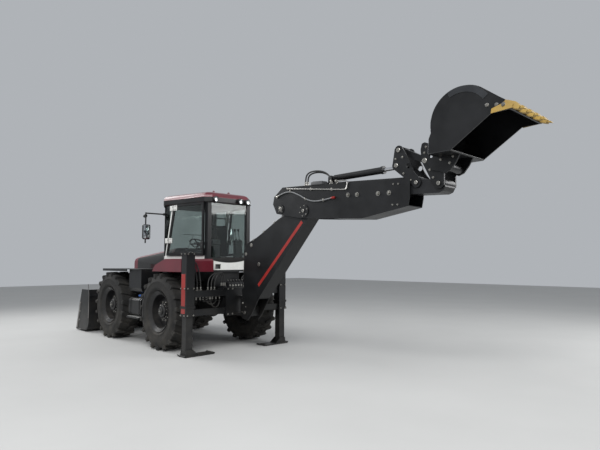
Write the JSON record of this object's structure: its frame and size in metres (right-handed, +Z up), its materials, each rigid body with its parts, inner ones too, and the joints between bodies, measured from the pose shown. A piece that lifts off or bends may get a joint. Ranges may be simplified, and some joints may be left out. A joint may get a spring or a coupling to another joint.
{
  "type": "backhoe loader",
  "caption": "Backhoe loader on four equal wheels: hollow cab with opening doors, front bucket, side-shifting rear arm with telescopic dipper, and slide-down stabiliser legs.",
  "frame": {"origin": "on the ground, in the middle of the part's length and width", "axes": "+X forward, towards the front bucket; +Y to the machine's left; +Z up"},
  "size_m": [10.4744, 2.386, 3.6947],
  "materials": {
    "black_paint": "satin",
    "dark_paint": "satin",
    "maroon_paint": "gloss",
    "white_paint": "gloss",
    "yellow_paint": "gloss",
    "cast_iron": "matte",
    "bright_rod": "polished",
    "tyre_rubber": "matte",
    "tinted_glass": "polished",
    "black_plastic": "matte",
    "seat_cloth": "matte"
  },
  "bodies": {
    "chassis": {"chassis_frame": "black_paint", "nose_beam": "black_paint", "loader_tower": "black_paint", "cab_stand": "black_paint", "axle_housings": "black_paint", "engine_block": "cast_iron", "rear_frame": "black_paint", "valve_block": "dark_paint", "cab_frame": "black_paint", "cab_panels": "white_paint", "cab_roof": "maroon_paint", "cab_glass": "tinted_glass", "rear_fenders": "maroon_paint", "front_fenders": "black_paint", "seat": "seat_cloth", "cab_fittings": "black_plastic", "side_tanks": "black_paint", "lamps": "black_plastic", "mirrors": "black_plastic"},
    "hood": {"hood": "maroon_paint", "grille": "black_plastic"},
    "door_left": {"door_left": "black_paint", "door_glass_left": "tinted_glass"},
    "steer_front_left": {"knuckle_front_left": "black_paint"},
    "wheel_front_left": {"tyre_front_left": "tyre_rubber", "rim_front_left": "dark_paint"},
    "steer_rear_left": {"knuckle_rear_left": "black_paint"},
    "wheel_rear_left": {"tyre_rear_left": "tyre_rubber", "rim_rear_left": "dark_paint"},
    "stabiliser_left": {"leg_left": "black_paint"},
    "door_right": {"door_right": "black_paint", "door_glass_right": "tinted_glass"},
    "steer_front_right": {"knuckle_front_right": "black_paint"},
    "wheel_front_right": {"tyre_front_right": "tyre_rubber", "rim_front_right": "dark_paint"},
    "steer_rear_right": {"knuckle_rear_right": "black_paint"},
    "wheel_rear_right": {"tyre_rear_right": "tyre_rubber", "rim_rear_right": "dark_paint"},
    "stabiliser_right": {"leg_right": "black_paint"},
    "loader": {"loader_arms": "black_paint"},
    "shovel": {"loader_bucket": "black_paint"},
    "lift_cylinders": {"lift_barrels": "black_paint"},
    "lift_pistons": {"lift_rods": "bright_rod"},
    "tilt_cylinders": {"tilt_barrels": "black_paint"},
    "tilt_pistons": {"tilt_rods": "bright_rod"},
    "shift_carriage": {"carriage": "black_paint"},
    "swing_post": {"kingpost": "black_paint"},
    "boom": {"boom": "black_paint"},
    "dipper": {"dipper": "black_paint"},
    "extension": {"dipper_slide": "dark_paint"},
    "lever": {"bucket_lever": "black_paint"},
    "link": {"bucket_link": "black_paint"},
    "bucket": {"digging_bucket": "black_paint", "bucket_teeth": "yellow_paint"},
    "boom_cylinder": {"boom_barrel": "black_paint"},
    "boom_piston": {"boom_rod": "bright_rod"},
    "dipper_cylinder": {"dipper_barrel": "black_paint"},
    "dipper_piston": {"dipper_rod": "bright_rod"},
    "bucket_cylinder": {"bucket_barrel": "black_paint"},
    "bucket_piston": {"bucket_rod": "bright_rod"}
  },
  "joints": [
    {"name": "steer_front_left", "type": "hinge", "parent": "chassis", "child": "steer_front_left", "pos_m": [3.42542, 0.8, 0.71], "axis": [0, 0, 1], "range_deg": [-22, 22]},
    {"name": "wheel_front_left", "type": "hinge", "parent": "steer_front_left", "child": "wheel_front_left", "pos_m": [3.42542, 0.95, 0.71], "axis": [0, 1, 0], "continuous": true},
    {"name": "steer_front_right", "type": "hinge", "parent": "chassis", "child": "steer_front_right", "pos_m": [3.42542, -0.8, 0.71], "axis": [0, 0, 1], "range_deg": [-22, 22]},
    {"name": "wheel_front_right", "type": "hinge", "parent": "steer_front_right", "child": "wheel_front_right", "pos_m": [3.42542, -0.95, 0.71], "axis": [0, 1, 0], "continuous": true},
    {"name": "steer_rear_left", "type": "hinge", "parent": "chassis", "child": "steer_rear_left", "pos_m": [1.25542, 0.8, 0.71], "axis": [0, 0, 1], "range_deg": [-22, 22]},
    {"name": "wheel_rear_left", "type": "hinge", "parent": "steer_rear_left", "child": "wheel_rear_left", "pos_m": [1.25542, 0.95, 0.71], "axis": [0, 1, 0], "continuous": true},
    {"name": "steer_rear_right", "type": "hinge", "parent": "chassis", "child": "steer_rear_right", "pos_m": [1.25542, -0.8, 0.71], "axis": [0, 0, 1], "range_deg": [-22, 22]},
    {"name": "wheel_rear_right", "type": "hinge", "parent": "steer_rear_right", "child": "wheel_rear_right", "pos_m": [1.25542, -0.95, 0.71], "axis": [0, 1, 0], "continuous": true},
    {"name": "door_left", "type": "hinge", "parent": "chassis", "child": "door_left", "pos_m": [1.73542, 0.736, 1.755], "axis": [0.1909, 0.0358, -0.981], "range_deg": [0, 75]},
    {"name": "door_right", "type": "hinge", "parent": "chassis", "child": "door_right", "pos_m": [1.73542, -0.736, 1.755], "axis": [-0.1909, 0.0358, 0.981], "range_deg": [0, 75]},
    {"name": "hood", "type": "hinge", "parent": "chassis", "child": "hood", "pos_m": [3.89542, 0, 1.262], "axis": [0, 1, 0], "range_deg": [0, 50]},
    {"name": "loader_lift", "type": "hinge", "parent": "chassis", "child": "loader", "pos_m": [2.21542, 0, 1.56], "axis": [0, -1, 0], "range_deg": [0, 75]},
    {"name": "lift_cylinder", "type": "hinge", "parent": "chassis", "child": "lift_cylinders", "pos_m": [2.36542, 0, 0.69], "axis": [0, -1, 0], "range_deg": [-0.5, 49.98]},
    {"name": "lift_piston", "type": "slide", "parent": "lift_cylinders", "child": "lift_pistons", "axis": [0.9057, 0, 0.4239], "range_m": [-0.002, 0.92953]},
    {"name": "loader_bucket", "type": "hinge", "parent": "loader", "child": "shovel", "pos_m": [4.37542, 0, 0.33], "axis": [0, 1, 0], "range_deg": [-28, 105]},
    {"name": "tilt_cylinder", "type": "hinge", "parent": "loader", "child": "tilt_cylinders", "pos_m": [3.12542, 0, 1.445], "axis": [0, -1, 0], "range_deg": [-7.7, 2.42]},
    {"name": "tilt_piston", "type": "slide", "parent": "tilt_cylinders", "child": "tilt_pistons", "axis": [0.9102, 0, -0.4141], "range_m": [-0.22771, 0.8484]},
    {"name": "stabiliser_left", "type": "slide", "parent": "chassis", "child": "stabiliser_left", "axis": [0, 0, 1], "range_m": [0, 0.54]},
    {"name": "stabiliser_right", "type": "slide", "parent": "chassis", "child": "stabiliser_right", "axis": [0, 0, 1], "range_m": [0, 0.54]},
    {"name": "side_shift", "type": "slide", "parent": "chassis", "child": "shift_carriage", "axis": [0, 1, 0], "range_m": [-0.5, 0.5]},
    {"name": "swing", "type": "hinge", "parent": "shift_carriage", "child": "swing_post", "pos_m": [0.11542, 0, 0.9], "axis": [0, 0, 1], "range_deg": [-80, 80]},
    {"name": "boom", "type": "hinge", "parent": "swing_post", "child": "boom", "pos_m": [-0.07458, 0, 0.72], "axis": [0, -1, 0], "range_deg": [-15, 75]},
    {"name": "boom_cylinder", "type": "hinge", "parent": "swing_post", "child": "boom_cylinder", "pos_m": [0.00542, 0, 1.09], "axis": [0, -1, 0], "range_deg": [-18.05, 88.27]},
    {"name": "boom_piston", "type": "slide", "parent": "boom_cylinder", "child": "boom_piston", "axis": [-0.2772, 0, 0.9608], "range_m": [-0.0842, 0.41299]},
    {"name": "dipper", "type": "hinge", "parent": "boom", "child": "dipper", "pos_m": [-1.63365, 0, 2.45153], "axis": [0, 1, 0], "range_deg": [-105, 4]},
    {"name": "dipper_cylinder", "type": "hinge", "parent": "boom", "child": "dipper_cylinder", "pos_m": [-0.45385, 0, 1.58957], "axis": [0, -1, 0], "range_deg": [-0.73, 6.42]},
    {"name": "dipper_piston", "type": "slide", "parent": "dipper_cylinder", "child": "dipper_piston", "axis": [-0.5613, 0, 0.8276], "range_m": [-0.03655, 0.90883]},
    {"name": "dipper_extend", "type": "slide", "parent": "dipper", "child": "extension", "axis": [-0.9981, 0, -0.061], "range_m": [0, 1]},
    {"name": "bucket", "type": "hinge", "parent": "extension", "child": "bucket", "pos_m": [-4.05358, 0, 2.62211], "axis": [0, -1, 0], "range_deg": [0, 150]},
    {"name": "bucket_lever", "type": "hinge", "parent": "extension", "child": "lever", "pos_m": [-3.72092, 0, 2.67051], "axis": [0, -1, 0], "range_deg": [-0.5, 104.03]},
    {"name": "bucket_link", "type": "hinge", "parent": "lever", "child": "link", "pos_m": [-3.45125, 0, 3.14286], "axis": [0, -1, 0], "range_deg": [-72.62, 0.5]},
    {"name": "bucket_cylinder", "type": "hinge", "parent": "extension", "child": "bucket_cylinder", "pos_m": [-2.10409, 0, 2.93571], "axis": [0, -1, 0], "range_deg": [-4.58, 0.5]},
    {"name": "bucket_piston", "type": "slide", "parent": "bucket_cylinder", "child": "bucket_piston", "axis": [-1, 0, 0.0033], "range_m": [-0.002, 0.67218]}
  ],
  "couplings": [
    {"joint": "steer_front_right", "follows": "steer_front_left", "ratio": 1},
    {"joint": "steer_rear_right", "follows": "steer_rear_left", "ratio": 1},
    {"joint": "lift_cylinder", "follows": "loader_lift", "ratio": 0.65972},
    {"joint": "lift_piston", "follows": "loader_lift", "m_per_rad": 0.70858},
    {"joint": "tilt_cylinder", "follows": "loader_bucket", "ratio": -0.068588},
    {"joint": "tilt_piston", "follows": "loader_bucket", "m_per_rad": 0.46186},
    {"joint": "boom_cylinder", "follows": "boom", "ratio": 1.1703},
    {"joint": "boom_piston", "follows": "boom", "m_per_rad": 0.31397},
    {"joint": "dipper_cylinder", "follows": "dipper", "ratio": -0.056396},
    {"joint": "dipper_piston", "follows": "dipper", "m_per_rad": -0.49484},
    {"joint": "bucket_lever", "follows": "bucket", "ratio": 0.69019},
    {"joint": "bucket_link", "follows": "bucket", "ratio": -0.48078},
    {"joint": "bucket_cylinder", "follows": "bucket", "ratio": -0.027176},
    {"joint": "bucket_piston", "follows": "bucket", "m_per_rad": 0.25599}
  ]
}
